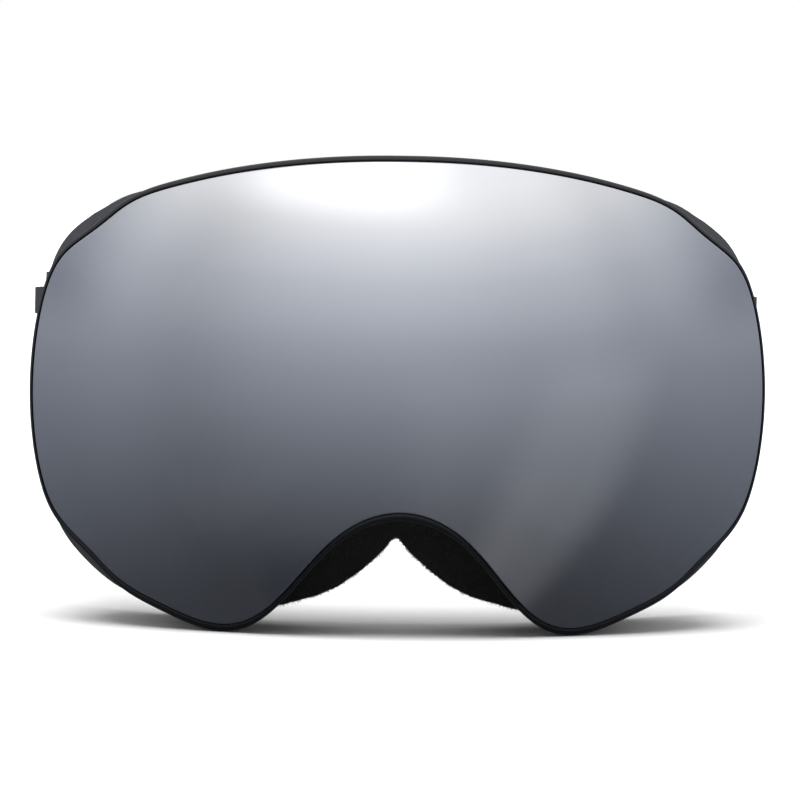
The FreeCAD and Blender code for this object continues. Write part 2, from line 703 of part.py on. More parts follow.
def vent_foam(name, corner, length, height):
    """Open-cell foam behind a row of vent slots, inside the wall."""
    edge = size("frame_wall") + VENT_GAP
    outside = prism(name + "_out", outline(name + "_out_edge", FRAME_FRONT, -edge),
                    FRONT_REACH, BACK_REACH)
    inside = prism(name + "_in", outline(name + "_in_edge", FRAME_FRONT, -edge - VENT_FOAM),
                   FRONT_REACH, BACK_REACH)
    strip = boolean("Cut", name + "_strip", outside, inside)
    region = doc.addObject("Part::Box", name + "_region")
    region.Length = length
    region.Width = BOX_DEPTH
    region.Height = height
    region.Placement.Base = Vector(corner[0], APEX, corner[1])
    piece = boolean("Common", name + "_piece", strip, region)
    behind = boolean("Common", name + "_behind", piece,
                     ball(name + "_ball", FRAME_FRONT_R + " - Sizes.flange_wall - 0.2"))
    return node(boolean("Cut", name, behind,
                        face_drum(name + "_drum",
                                  FOAM_FRONT_R + " + Sizes.back_flange_wall + 0.2")), name)


vent_foam("vent_foam_top", (-60, 96), 120, 20)
vent_foam("vent_foam_left", (36, 0), 30, 14)
vent_foam("vent_foam_right", (-66, 0), 30, 14)

LAYER_GAP = " - 0.02"
MID_FRONT = "Sizes.face_r + Sizes.fleece_t + Sizes.mid_foam_t"
FLEECE_FRONT = "Sizes.face_r + Sizes.fleece_t"
node(curved_layer("face_foam_base", FOAM_FRONT_R + LAYER_GAP, MID_FRONT, foam_block, foam_opening),
     "face_foam_base")
node(curved_layer("face_foam_mid", MID_FRONT + LAYER_GAP, FLEECE_FRONT, foam_block, foam_opening),
     "face_foam_mid")
node(curved_layer("face_fleece", FLEECE_FRONT + LAYER_GAP, "Sizes.face_r", foam_block, foam_opening),
     "face_fleece")

# Nose flaps: fleece over thin foam, hung under the bridge from both sides.
for side, hand in SIDES:
    edge = doc.addObject("Sketcher::SketchObject", "flap_edge_" + hand)
    corners = [Vector(side * x, z, 0) for x, z in FLAP_EDGE]
    lower = Part.BSplineCurve()
    lower.interpolate(corners[:9])
    upper = Part.BSplineCurve()
    upper.interpolate(corners[9:])
    edge.addGeometry(lower)
    edge.addGeometry(Part.LineSegment(corners[8], corners[9]))
    edge.addGeometry(upper)
    edge.addGeometry(Part.LineSegment(corners[-1], corners[0]))
    edge.Placement = Placement(Vector(0, APEX, 0), Rotation(Vector(1, 0, 0), 90))
    flap = curved_layer("nose_flap_" + hand, "Sizes.face_r + 12", "Sizes.face_r + 5.5",
                        prism("flap_prism_" + hand, edge, FRONT_REACH, 130))
    node(flap, "nose_flap_" + hand)

# ------------------------------------------------------------ check and write
doc.recompute()
for obj in doc.Objects:
    if "Invalid" in obj.State or "Error" in obj.State:
        raise RuntimeError("%s did not build: %s" % (obj.Name, obj.State))

os.makedirs("parts", exist_ok=True)
for obj in NODES:
    shape = obj.Shape
    if shape.isNull() or not shape.isValid() or not shape.Solids:
        raise RuntimeError(obj.Label + " has no valid solid")
    shape.exportStep("parts/%s.step" % obj.Label)
    print("%-20s %2d solid(s) %9.1f mm3" % (obj.Label, len(shape.Solids), shape.Volume))
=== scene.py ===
"""Ski goggles: the looks of the lens, rim, frame, foams, arms and strap."""

import math

import bmesh
import bpy
import numpy as np
from bpy.props import FloatProperty, FloatVectorProperty, IntProperty, PointerProperty
from bpy.types import Operator, Panel, PropertyGroup
from mathutils import Matrix, Vector


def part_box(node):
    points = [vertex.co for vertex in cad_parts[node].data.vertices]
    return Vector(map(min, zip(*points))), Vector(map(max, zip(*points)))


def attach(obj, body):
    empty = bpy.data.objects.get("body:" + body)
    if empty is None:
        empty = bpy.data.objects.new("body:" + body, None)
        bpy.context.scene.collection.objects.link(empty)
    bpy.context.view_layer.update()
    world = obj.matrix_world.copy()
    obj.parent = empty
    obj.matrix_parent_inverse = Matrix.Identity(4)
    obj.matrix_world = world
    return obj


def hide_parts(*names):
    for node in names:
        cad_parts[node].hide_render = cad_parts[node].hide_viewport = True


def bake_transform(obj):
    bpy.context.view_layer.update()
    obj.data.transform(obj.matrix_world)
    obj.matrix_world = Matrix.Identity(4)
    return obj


bl_info = {
    "name": "Ski Goggles",
    "version": (1, 0, 0),
    "blender": (4, 5, 0),
    "location": "View3D > Sidebar > Goggles",
    "description": "Builds ski goggles round their packed frame",
    "category": "Add Mesh",
}

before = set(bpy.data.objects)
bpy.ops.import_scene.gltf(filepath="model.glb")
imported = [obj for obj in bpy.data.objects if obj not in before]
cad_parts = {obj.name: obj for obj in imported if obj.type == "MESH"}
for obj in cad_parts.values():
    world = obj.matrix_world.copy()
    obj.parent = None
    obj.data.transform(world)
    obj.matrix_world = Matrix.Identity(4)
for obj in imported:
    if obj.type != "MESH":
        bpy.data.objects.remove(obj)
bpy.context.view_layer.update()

MM = 0.001

# ------------------------------------------------------------ shared geometry
# Both lenses and the rim are shells of spheres about one centre. The face foam
# lies between upright drums about one axis, which follow the curve of a face.
LENS_R = 117.0 * MM
RIM_BACK_R = 108.5 * MM
SEAT_R = 111.7 * MM
LENS_WALL = 1.4 * MM
AIR_GAP = 3.0 * MM
INNER_WALL = 0.8 * MM
FACE_R = 95.0 * MM
FLEECE_T = 1.5 * MM
MID_T = 5.0 * MM
BASE_T = 10.0 * MM
APEX_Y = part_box("outer_lens")[0].y
LENS_CENTRE = Vector((0.0, APEX_Y + LENS_R, 60.0 * MM))
FACE_AXIS_Y = APEX_Y + 54.0 * MM + FACE_R

# The strap has a frame of its own: y runs back along it, and it droops.
STRAP_PLACE = (Matrix.Translation((0.0, APEX_Y + 68.0 * MM, 62.0 * MM))
               @ Matrix.Rotation(math.radians(-6.0), 4, "X"))
HINGE_X = 86.3 * MM
BAR_BACK = 26.0 * MM
LOOP_R = 3.0 * MM
WEB_T = 1.6 * MM
WEB_HALF = 20.0 * MM
WEB_X = HINGE_X - LOOP_R
LEG_BACK = 38.0 * MM
LEG_X = WEB_X + WEB_T + 0.3 * MM
ARC_BACK = 86.745 * MM
SIDES = ((1, "left"), (-1, "right"))

# Samples of half an outline: top to temple, temple to lobe, lobe to nose.
OUTLINE_STEPS = (90, 70, 64)
# How far apart two vertices may be and still count as one.
DOUBLE = 1e-6
CAD_DOUBLE = 2e-6

SPACER_INSET = 1.0 * MM
SPACER_WIDTH = 4.0 * MM
INNER_LENS_INSET = 2.5 * MM
LENS_RINGS = 40
POCKET_WIDER = 1.05
POCKET_DEEPER = 1.0 * MM
FIBRE_WIDTH = 0.07 * MM
THREAD = 0.45 * MM
NOSE_OVERLAP = 0.3 * MM
# The clouds texture's middle grey, where a displaced surface stays in place.
LUMP_MIDDLE = 0.58

# Two places along the strap's frame, handed to the grip lines, which don't use them.
BEND_START = 80.0 * MM
BEND_END = 166.0 * MM
GRIP_HEIGHTS = (-12.0 * MM, 0.0, 12.0 * MM)
GRIP_T = 0.35 * MM
GRIP_HALF = 1.1 * MM


def srgb(text):
    """An sRGB hex colour as linear red, green, blue and alpha."""
    parts = [int(text[i:i + 2], 16) / 255 for i in (1, 3, 5)]
    linear = [c / 12.92 if c <= 0.04045 else ((c + 0.055) / 1.055) ** 2.4 for c in parts]
    return (*linear, 1.0)


# ----------------------------------------------------------------- settings
def length(name, description, default):
    return FloatProperty(name=name, description=description, default=default, unit="LENGTH")


def colour(name, description, text):
    return FloatVectorProperty(name=name, description=description, size=4, subtype="COLOR",
                               default=srgb(text))


class GoggleSizes(PropertyGroup):
    fibre_length: length("Fleece fibre", "Length of the fleece's fibres", 0.9 * MM)
    fibre_density: FloatProperty(
        name="Fibre density", description="Fleece fibres per square metre", default=2.2e6)
    stitch_pitch: length("Stitch pitch", "Distance between stitches", 2.6 * MM)
    rib_pitch: length("Rib pitch", "Distance between the strap's woven ribs", 1.6 * MM)
    rib_height: length("Rib height", "Height of the strap's woven ribs", 0.09 * MM)
    seed: IntProperty(name="Seed", description="Seed of the fleece's fibres", default=7)


class GoggleColours(PropertyGroup):
    mirror: colour("Mirror", "Silver mirror coating", "#CBCCCF")
    rim: colour("Rim", "Lens rim", "#0E0F11")
    shell: colour("Frame", "Soft frame", "#2F3034")
    fleece: colour("Fleece", "Fleece and foam", "#0F0F11")
    webbing: colour("Strap", "Strap webbing", "#17181B")


# ------------------------------------------------------------- node helper
def add(tree, kind, inputs=None, **settings):
    """Adds a node. inputs maps a socket's name or number to a value or an output."""
    node = tree.nodes.new(kind)
    for name, value in settings.items():
        setattr(node, name, value)
    for socket, value in (inputs or {}).items():
        if isinstance(value, bpy.types.NodeSocket):
            tree.links.new(value, node.inputs[socket])
        else:
            node.inputs[socket].default_value = value
    return node


def maths(tree, operation, *values):
    """The output of one maths node."""
    return add(tree, "ShaderNodeMath", dict(enumerate(values)), operation=operation).outputs[0]


def new_material(name, **shader_inputs):
    """A material with one Principled shader, and its tree and shader."""
    material = bpy.data.materials.new(name)
    material.use_nodes = True
    tree = material.node_tree
    tree.nodes.clear()
    inputs = {key.replace("_", " "): value for key, value in shader_inputs.items()}
    shader = add(tree, "ShaderNodeBsdfPrincipled", inputs)
    add(tree, "ShaderNodeOutputMaterial", {"Surface": shader.outputs[0]})
    return material, tree, shader


def place_of(tree, size):
    """Object coordinates counted in steps of a real size in metres."""
    where = add(tree, "ShaderNodeTexCoord")
    return add(tree, "ShaderNodeMapping",
               {"Vector": where.outputs["Object"], "Scale": (1 / size,) * 3}).outputs[0]


def noise(tree, size, detail):
    """Noise with features of a real size in metres."""
    return add(tree, "ShaderNodeTexNoise",
               {"Vector": place_of(tree, size), "Detail": detail}).outputs[0]


def vary_roughness(tree, shader, factor, low, high):
    """Roughness that wanders between two values."""
    rough = add(tree, "ShaderNodeMapRange", {"Value": factor, "To Min": low, "To Max": high})
    tree.links.new(rough.outputs[0], shader.inputs["Roughness"])


def shade_between(tree, shader, factor, dark, light):
    """Colour that wanders between two shades of one colour."""
    mix = add(tree, "ShaderNodeMix", {0: factor}, data_type="RGBA")
    mix.inputs[6].default_value = dark
    mix.inputs[7].default_value = light
    tree.links.new(mix.outputs[2], shader.inputs["Base Color"])


def scaled(colour, amount):
    return (*[min(1.0, c * amount) for c in colour[:3]], 1.0)


def add_bump(tree, shader, height, depth):
    bump = add(tree, "ShaderNodeBump", {"Height": height, "Distance": depth, "Strength": 1.0})
    tree.links.new(bump.outputs[0], shader.inputs["Normal"])


# ---------------------------------------------------------------- materials
def mirror_polycarbonate(colour):
    """Vacuum-coated polycarbonate: a silver mirror, a little bluer at its edge,
    with handling haze too faint to see except as softness in the reflections."""
    material, tree, shader = new_material(
        "silver_coated_polycarbonate", Metallic=0.9, Roughness=0.05, IOR=1.585,
        Transmission_Weight=1.0)
    edge = add(tree, "ShaderNodeLayerWeight", {"Blend": 0.35})
    shade_between(tree, shader, edge.outputs["Facing"], colour,
                  (colour[0] * 0.93, colour[1] * 0.98, colour[2] * 1.06, 1.0))
    vary_roughness(tree, shader, noise(tree, 22 * MM, 3.0), 0.035, 0.075)
    return material


def clear_acetate():
    """Cellulose acetate, cast and anti-fog coated: clear with a warm grey cast."""
    material, tree, shader = new_material(
        "antifog_cellulose_acetate", Base_Color=srgb("#C9C8C2"), Roughness=0.06, IOR=1.48,
        Transmission_Weight=1.0)
    vary_roughness(tree, shader, noise(tree, 9 * MM, 2.0), 0.04, 0.12)
    return material


def moulded_plastic(name, colour, roughness, grain=0.35 * MM, depth=0.02 * MM,
                    specular=0.5):
    """Injection-moulded plastic with a spark-eroded grain: satin, with a fine
    sparkle, and scuffed a little duller in patches."""
    material, tree, shader = new_material(name, Roughness=roughness, IOR=1.5,
                                          Specular_IOR_Level=specular)
    patches = noise(tree, 14 * MM, 4.0)
    shade_between(tree, shader, patches, scaled(colour, 0.8), scaled(colour, 1.25))
    vary_roughness(tree, shader, patches, roughness - 0.08, roughness + 0.1)
    add_bump(tree, shader, noise(tree, grain, 2.0), depth)
    return material


def open_cell_foam(name, colour, cell):
    """Open-cell polyurethane: black, dead matt, with pores the eye reads as grain. The colour is
    painted darker in the pores' hollows, where the bump sinks: painted shade.
    """
    material, tree, shader = new_material(name, Roughness=0.95, IOR=1.5)
    pores = add(tree, "ShaderNodeTexVoronoi", {"Vector": place_of(tree, cell), "Scale": 1.0})
    # Painted shade: darker where the pores sink, lighter on the cell walls, following the bump.
    shade_between(tree, shader, pores.outputs["Distance"], scaled(colour, 0.55),
                  scaled(colour, 1.5))
    add_bump(tree, shader, pores.outputs["Distance"], cell * 0.6)
    return material


def brushed_fleece(colour):
    """Polyester microfleece, brushed: black with a soft pale bloom at its edges."""
    material, tree, shader = new_material(
        "brushed_polyester_fleece", Roughness=0.9, IOR=1.5, Sheen_Weight=0.25,
        Sheen_Roughness=0.5)
    nap = noise(tree, 1.1 * MM, 5.0)
    shade_between(tree, shader, nap, scaled(colour, 0.5), scaled(colour, 1.6))
    add_bump(tree, shader, nap, 0.25 * MM)
    return material


def nickel_plate():
    """Nickel-plated neodymium: warm silver, faintly pitted."""
    material, tree, shader = new_material(
        "nickel_plated_magnet", Base_Color=srgb("#C6C1B8"), Metallic=1.0, Roughness=0.25)
    add_bump(tree, shader, noise(tree, 0.5 * MM, 3.0), 0.01 * MM)
    return material


def drawn_steel():
    """Drawn stainless pin: bright, with fine lines along its length."""
    material, tree, shader = new_material(
        "drawn_stainless_steel", Base_Color=srgb("#B9BBBE"), Metallic=1.0, Roughness=0.3)
    where = add(tree, "ShaderNodeTexCoord")
    line_width, line_length = 0.15 * MM, 8 * MM
    along = add(tree, "ShaderNodeMapping",
                {"Vector": where.outputs["Object"],
                 "Scale": (1 / line_width, 1 / line_width, 1 / line_length)})
    lines = add(tree, "ShaderNodeTexNoise", {"Vector": along.outputs[0], "Detail": 2.0})
    add_bump(tree, shader, lines.outputs[0], 0.01 * MM)
    return material


def knitted_elastic(colour):
    """Jacquard-woven elastic: matt black yarn, its weft crossing the ribs, with a slight sheen
    where the yarn turns over. Its colour is painted lighter on the raised yarn and darker in the
    hollows between, as painted highlight and painted shade. The UV map is in metres."""
    material, tree, shader = new_material(
        "woven_elastic_webbing", Roughness=0.8, IOR=1.5, Sheen_Weight=0.2, Sheen_Roughness=0.4)
    yarn = 0.8 * MM
    where = add(tree, "ShaderNodeTexCoord")
    split = add(tree, "ShaderNodeSeparateXYZ", {0: where.outputs["UV"]})
    waves = [maths(tree, "SINE", maths(tree, "MULTIPLY", split.outputs[axis],
                                       2 * math.pi / pitch))
             for axis, pitch in ((0, yarn), (1, yarn * 1.5))]
    height = add(tree, "ShaderNodeMapRange",
                 {"Value": maths(tree, "MULTIPLY", *waves), "From Min": -1.0})
    # Painted highlight and shade: lighter where the weave rises, darker in its hollows.
    shade_between(tree, shader, height.outputs[0], scaled(colour, 0.5), scaled(colour, 1.7))
    add_bump(tree, shader, height.outputs[0], 0.12 * MM)
    return material


def stitch_thread():
    """Bonded polyester thread, a shade paler than the webbing."""
    material, tree, shader = new_material("bonded_polyester_thread", Roughness=0.55, IOR=1.5)
    shade_between(tree, shader, noise(tree, 0.3 * MM, 2.0), srgb("#2A2B2F"), srgb("#4A4B50"))
    return material


def silicone():
    """Printed silicone: translucent grey-black with a wet, soft shine."""
    material, tree, shader = new_material(
        "printed_silicone", Roughness=0.35, IOR=1.41, Coat_Weight=0.2)
    flow = noise(tree, 3 * MM, 3.0)
    shade_between(tree, shader, flow, srgb("#26272B"), srgb("#3A3B40"))
    add_bump(tree, shader, flow, 0.05 * MM)
    return material


# ------------------------------------------------------------------ meshes
def link_mesh(name, mesh, material=None):
    obj = bpy.data.objects.new(name, mesh)
    bpy.context.scene.collection.objects.link(obj)
    if material:
        mesh.materials.clear()
        mesh.materials.append(material)
    return obj


def node_copy(name, node, material=None):
    """A new piece with a CAD node's mesh."""
    return link_mesh(name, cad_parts[node].data.copy(), material)


def smooth(obj, angle=None):
    """Smooth shading, broken at edges sharper than angle in degrees."""
    mesh = obj.data
    mesh.shade_smooth()
    if angle:
        mesh.set_sharp_from_angle(angle=math.radians(angle))
    return obj


def reworked(obj, step):
    """Runs one step on the object's mesh, then turns every face outwards."""
    mesh = bmesh.new()
    mesh.from_mesh(obj.data)
    step(mesh)
    bmesh.ops.recalc_face_normals(mesh, faces=mesh.faces)
    mesh.to_mesh(obj.data)
    mesh.free()
    return obj


def merge_doubles(mesh, distance=DOUBLE):
    bmesh.ops.remove_doubles(mesh, verts=mesh.verts, dist=distance)


def fill_holes(mesh):
    bmesh.ops.holes_fill(mesh, edges=[e for e in mesh.edges if e.is_boundary])


def modify(obj, kind, **settings):
    modifier = obj.modifiers.new(kind.lower(), kind)
    for name, value in settings.items():
        setattr(modifier, name, value)


def applied(obj):
    """Replaces the object's mesh by the result of its modifiers."""
    graph = bpy.context.evaluated_depsgraph_get()
    result = bpy.data.meshes.new_from_object(obj.evaluated_get(graph))
    obj.modifiers.clear()
    obj.data = result
    return obj


def grid_mesh(name, rows, material, wrap_rows, wrap_columns):
    """Quads through a grid of points, with a UV map in metres along both ways."""
    rows = np.asarray(rows)
    count, width = rows.shape[:2]
    along = np.cumsum(np.linalg.norm(np.diff(rows[0], axis=0, append=rows[0][:1]), axis=1))
    along = np.concatenate(([0.0], along))
    across = np.cumsum(np.linalg.norm(np.diff(rows[:, 0], axis=0, append=rows[:1, 0]), axis=1))
    across = np.concatenate(([0.0], across))
    faces = []
    corners = []
    for r in range(count if wrap_rows else count - 1):
        for c in range(width if wrap_columns else width - 1):
            steps = ((r, c), (r, c + 1), (r + 1, c + 1), (r + 1, c))
            faces.append([(i % count) * width + j % width for i, j in steps])
            corners.extend((along[j], across[i]) for i, j in steps)
    mesh = bpy.data.meshes.new(name)
    mesh.from_pydata(rows.reshape(-1, 3).tolist(), [], faces)
    layer = mesh.uv_layers.new(name="surface")
    layer.data.foreach_set("uv", np.array(corners, np.float32).ravel())
    return link_mesh(name, mesh, material)


# ---------------------------------------------------------------- outlines
def on_sphere(radius):
    """Depth of a sphere about the lens centre, at (x, z)."""
    return lambda x, z: LENS_CENTRE.y - np.sqrt(
        radius ** 2 - x ** 2 - (z - LENS_CENTRE.z) ** 2)


def on_drum(radius):
    """Depth of an upright drum about the face axis, at (x, z)."""
    return lambda x, z: FACE_AXIS_Y - np.sqrt(radius ** 2 - x ** 2)


def edge_loops(node, surface, tolerance=0.02 * MM):
    """Closed borders, longest first, of the part of a CAD node that lies on a surface."""
    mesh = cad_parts[node].data
    points = np.array([v.co for v in mesh.vertices], float)
    on = np.abs(points[:, 1] - surface(points[:, 0], points[:, 2])) < tolerance
    keys = [tuple(p) for p in np.round(points / (0.005 * MM)).astype(int)]
    place = {key: points[i] for i, key in enumerate(keys)}
    uses = {}
    for polygon in mesh.polygons:
        corners = list(polygon.vertices)
        if not all(on[i] for i in corners):
            continue
        for a, b in zip(corners, corners[1:] + corners[:1]):
            if keys[a] != keys[b]:
                edge = frozenset((keys[a], keys[b]))
                uses[edge] = uses.get(edge, 0) + 1
    links = {}
    for edge in (e for e, n in uses.items() if n == 1):
        a, b = sorted(edge)
        links.setdefault(a, []).append(b)
        links.setdefault(b, []).append(a)
    loops = []
    while links:
        here = min(links)
        walk = [here]
        while True:
            ahead = links.pop(here, [])
            ahead = [k for k in ahead if k in links and k not in walk[-2:-1]]
            if not ahead:
                break
            here = ahead[0]
            walk.append(here)
        if len(walk) > 8:
            loops.append(np.array([place[k] for k in walk])[:, (0, 2)])
    if not loops:
        raise RuntimeError("no border found on " + node)
    return sorted(loops, key=lambda p: -np.ptp(p[:, 0]))


def outline(loop):
    """A border resampled at matching places: both halves start at the top middle."""
    area = np.sum(loop[:, 0] * np.roll(loop[:, 1], -1) - np.roll(loop[:, 0], -1) * loop[:, 1])
    if area > 0:
        loop = loop[::-1]
    x, z = loop[:, 0], loop[:, 1]
    start = [i for i in range(len(x)) if x[i - 1] < 0 <= x[i]][0]
    loop = np.roll(loop, -start, axis=0)
    end = [i for i in range(1, len(loop)) if loop[i - 1, 0] >= 0 > loop[i, 0]][0]

    def crossing(a, b):
        share = a[0] / (a[0] - b[0]) if a[0] != b[0] else 0.0
        return np.array([0.0, a[1] + (b[1] - a[1]) * share])

    half = np.vstack((crossing(loop[-1], loop[0]), loop[:end], crossing(loop[end - 1], loop[end])))
    run = np.concatenate(([0.0], np.cumsum(np.linalg.norm(np.diff(half, axis=0), axis=1))))
    anchors = (0.0, run[half[:, 0].argmax()], run[half[:, 1].argmin()], run[-1])
    places = [np.linspace(a, b, n + 1)[:-1]
              for a, b, n in zip(anchors, anchors[1:], OUTLINE_STEPS)]
    places = np.concatenate(places + [[run[-1]]])
    half = np.column_stack([np.interp(places, run, half[:, i]) for i in (0, 1)])
    full = np.vstack((half, half[-2:0:-1] * (-1, 1)))
    for _ in range(3):
        full = (np.roll(full, 1, axis=0) + 2 * full + np.roll(full, -1, axis=0)) / 4
    return full


def outwards(flat):
    """Outward normals of an outline."""
    along = np.roll(flat, -1, axis=0) - np.roll(flat, 1, axis=0)
    normal = np.column_stack((-along[:, 1], along[:, 0]))
    return normal / np.linalg.norm(normal, axis=1)[:, None]


def laid(flat, surface):
    """An outline laid on a surface."""
    return np.column_stack((flat[:, 0], surface(flat[:, 0], flat[:, 1]), flat[:, 1]))


def sweep(name, near, far, section, material):
    """A closed ring. Each row of its section is (share of the way from the near
    outline to the far one, distance moved outwards, surface it lies on)."""
    rows = []
    for share, distance, surface in section:
        flat = near + (far - near) * share
        rows.append(laid(flat + outwards(flat) * distance, surface))
    return reworked(grid_mesh(name, rows, material, True, True), merge_doubles)


def dome(name, edge, outer_r, inner_r, round_r, material):
    """A lens: two spheres' caps inside an outline, with a rounded edge."""
    centre = np.array([0.0, LENS_CENTRE.z])
    steps = np.linspace(0.02, 1.0, LENS_RINGS) ** 0.8
    normals = outwards(edge)
    inside = edge - normals * round_r
    rows = [laid(centre + (inside - centre) * s, on_sphere(outer_r)) for s in steps]
    for radius, sign, turns in ((outer_r, -1, (30, 60, 90)), (inner_r, 1, (90, 60, 30))):
        for a in map(math.radians, turns):
            rows.append(laid(inside + normals * round_r * math.sin(a),
                             on_sphere(radius + sign * round_r * (1 - math.cos(a)))))
    rows += [laid(centre + (inside - centre) * s, on_sphere(inner_r)) for s in steps[::-1]]
    obj = smooth(reworked(grid_mesh(name, rows, material, False, True), fill_holes))
    exact_sphere_normals(obj.data, outer_r, inner_r)
    return obj


def exact_sphere_normals(mesh, outer_r, inner_r):
    """Shades the two caps as true spheres, so that reflections run clean."""
    points = np.array([v.co for v in mesh.vertices], float) - np.array(LENS_CENTRE)
    reach = np.linalg.norm(points, axis=1)
    ray = points / reach[:, None]
    normals = np.array([c.vector for c in mesh.corner_normals], float)
    for polygon in mesh.polygons:
        corners = list(polygon.vertices)
        for radius, sign in ((outer_r, 1), (inner_r, -1)):
            if all(abs(reach[i] - radius) < DOUBLE for i in corners):
                for loop, vertex in zip(polygon.loop_indices, corners):
                    normals[loop] = ray[vertex] * sign
    mesh.normals_split_custom_set(normals.tolist())


# -------------------------------------------------------------- soft pieces
def soften(obj, voxel, smoothing, lumps, lump_size, shrink=0.0):
    """Turns a plain solid into soft material: remeshed, drawn in by shrink, rounded
    and made a little uneven."""
    material = obj.data.materials[0]
    reworked(obj, merge_doubles)
    modify(obj, "REMESH", mode="VOXEL", voxel_size=voxel)
    modify(obj, "DISPLACE", strength=-shrink, mid_level=0.0)
    modify(obj, "SMOOTH", factor=0.5, iterations=smoothing)
    uneven(obj, lumps, lump_size)
    obj.data.materials.clear()
    obj.data.materials.append(material)
    return smooth(obj)


def uneven(obj, depth, lump_size):
    """A soft unevenness over a piece's surface."""
    texture = bpy.data.textures.new(obj.name + "_lumps", "CLOUDS")
    texture.noise_scale = lump_size
    modify(obj, "DISPLACE", texture=texture, texture_coords="LOCAL", strength=depth,
           mid_level=LUMP_MIDDLE)
    return applied(obj)


def join_parts(name, parts):
    """Several meshes made one."""
    mesh = bmesh.new()
    for part in parts:
        mesh.from_mesh(part.data)
    result = parts[0].data.copy()
    mesh.to_mesh(result)
    mesh.free()
    result.name = name
    material = parts[0].data.materials[0]
    for part in parts:
        bpy.data.objects.remove(part)
    return link_mesh(name, result, material)


def moulded_copy(name, node, bevel, material):
    """A hard moulded piece: the CAD node with its edges rounded off."""
    def simplify(mesh):
        merge_doubles(mesh, CAD_DOUBLE)
        bmesh.ops.dissolve_limit(mesh, angle_limit=math.radians(1.0), verts=mesh.verts,
                                 edges=mesh.edges)

    obj = reworked(node_copy(name, node, material), simplify)
    modify(obj, "BEVEL", width=bevel, segments=3, limit_method="ANGLE",
           angle_limit=math.radians(35), use_clamp_overlap=True)
    return smooth(applied(obj), 50)


# ------------------------------------------------------------ node groups
def new_group(name, inputs):
    """A Geometry Nodes tree with a geometry input, named inputs and an output."""
    tree = bpy.data.node_groups.new(name, "GeometryNodeTree")
    tree.interface.new_socket(name="Geometry", in_out="INPUT", socket_type="NodeSocketGeometry")
    for label, kind in inputs:
        tree.interface.new_socket(name=label, in_out="INPUT", socket_type="NodeSocket" + kind)
    tree.interface.new_socket(name="Geometry", in_out="OUTPUT", socket_type="NodeSocketGeometry")
    return tree, tree.nodes.new("NodeGroupInput")


def end_group(tree, instances, material):
    """Every tree ends in real geometry with its material set."""
    real = add(tree, "GeometryNodeRealizeInstances", {0: instances})
    coated = add(tree, "GeometryNodeSetMaterial", {"Geometry": real.outputs[0],
                                                   "Material": material})
    add(tree, "NodeGroupOutput", {0: coated.outputs[0]})


def fibre_group():
    """Short tapered fibres, scattered and leaning at random."""
    tree, given = new_group("fleece_fibres", (
        ("Density", "Float"), ("Length", "Float"), ("Width", "Float"), ("Seed", "Int"),
        ("Material", "Material")))
    spread = add(tree, "GeometryNodeDistributePointsOnFaces",
                 {"Mesh": given.outputs["Geometry"], "Density": given.outputs["Density"],
                  "Seed": given.outputs["Seed"]})
    fibre = add(tree, "GeometryNodeMeshCone",
                {"Vertices": 3, "Side Segments": 1, "Radius Top": 0.0,
                 "Radius Bottom": given.outputs["Width"], "Depth": given.outputs["Length"]},
                fill_type="NONE")
    lean = add(tree, "FunctionNodeRandomValue",
               {0: (-0.9, -0.9, -0.9), 1: (0.9, 0.9, 0.9), "Seed": given.outputs["Seed"]},
               data_type="FLOAT_VECTOR")
    turn = add(tree, "FunctionNodeEulerToRotation", {0: lean.outputs[0]})
    facing = add(tree, "FunctionNodeRotateRotation",
                 {"Rotation": spread.outputs["Rotation"], "Rotate By": turn.outputs[0]},
                 rotation_space="LOCAL")
    stretch = add(tree, "FunctionNodeRandomValue", {2: 0.45, 3: 1.15}, data_type="FLOAT")
    planted = add(tree, "GeometryNodeInstanceOnPoints",
                  {"Points": spread.outputs["Points"], "Instance": fibre.outputs["Mesh"],
                   "Rotation": facing.outputs[0], "Scale": stretch.outputs[1]})
    end_group(tree, planted.outputs[0], given.outputs["Material"])
    return tree


def stitch_group():
    """Stitches lying end to end along a seam."""
    tree, given = new_group("seam_stitches", (
        ("Pitch", "Float"), ("Thread", "Float"), ("Material", "Material")))
    seam = add(tree, "GeometryNodeMeshToCurve", {0: given.outputs["Geometry"]})
    steps = add(tree, "GeometryNodeResampleCurve",
                {"Curve": seam.outputs[0], "Length": given.outputs["Pitch"]}, mode="LENGTH")
    tangent = add(tree, "GeometryNodeInputTangent")
    facing = add(tree, "FunctionNodeAlignRotationToVector", {"Vector": tangent.outputs[0]},
                 axis="X")
    bead = add(tree, "GeometryNodeMeshUVSphere", {"Segments": 8, "Rings": 6, "Radius": 0.5})
    length = add(tree, "ShaderNodeMath", {0: given.outputs["Pitch"], 1: 0.8},
                 operation="MULTIPLY")
    shape = add(tree, "ShaderNodeCombineXYZ",
                {0: length.outputs[0], 1: given.outputs["Thread"], 2: given.outputs["Thread"]})
    laid_out = add(tree, "GeometryNodeInstanceOnPoints",
                   {"Points": steps.outputs[0], "Instance": bead.outputs["Mesh"],
                    "Rotation": facing.outputs[0], "Scale": shape.outputs[0]})
    end_group(tree, laid_out.outputs[0], given.outputs["Material"])
    return tree


def grown(name, source, tree, **inputs):
    """What a node group makes of a source mesh, as a plain mesh."""
    carrier = link_mesh(name + "_source", source)
    modifier = carrier.modifiers.new("grow", "NODES")
    modifier.node_group = tree
    sockets = {item.name: item.identifier for item in tree.interface.items_tree
               if item.in_out == "INPUT"}
    for label, value in inputs.items():
        modifier[sockets[label]] = value
    mesh = applied(carrier).data
    bpy.data.objects.remove(carrier)
    mesh.name = name
    return smooth(link_mesh(name, mesh))


